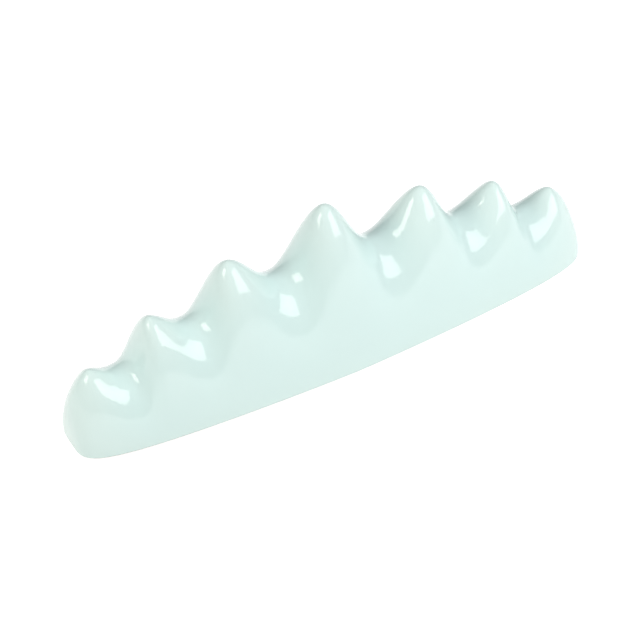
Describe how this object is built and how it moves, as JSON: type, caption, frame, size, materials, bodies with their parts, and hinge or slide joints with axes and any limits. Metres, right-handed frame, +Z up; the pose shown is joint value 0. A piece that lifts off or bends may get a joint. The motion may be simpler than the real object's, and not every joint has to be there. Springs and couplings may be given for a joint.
{
  "type": "brush rest",
  "caption": "Glazed porcelain brush rest shaped like a mountain range, with rounded cradles between its peaks for resting brushes.",
  "frame": {"origin": "centre of the foot, on the surface that the rest stands on", "axes": "+X along the range, +Y from front to back, +Z up"},
  "size_m": [0.18, 0.0364, 0.055],
  "materials": {
    "celadon_glaze": "glossy pale celadon glaze",
    "bare_porcelain": "bare fired porcelain",
    "slab_porcelain": "bare fired porcelain"
  },
  "bodies": {
    "root": {"porcelain_body": "bare_porcelain", "base_slab": "slab_porcelain", "glaze_coat": "celadon_glaze"}
  },
  "joints": []
}
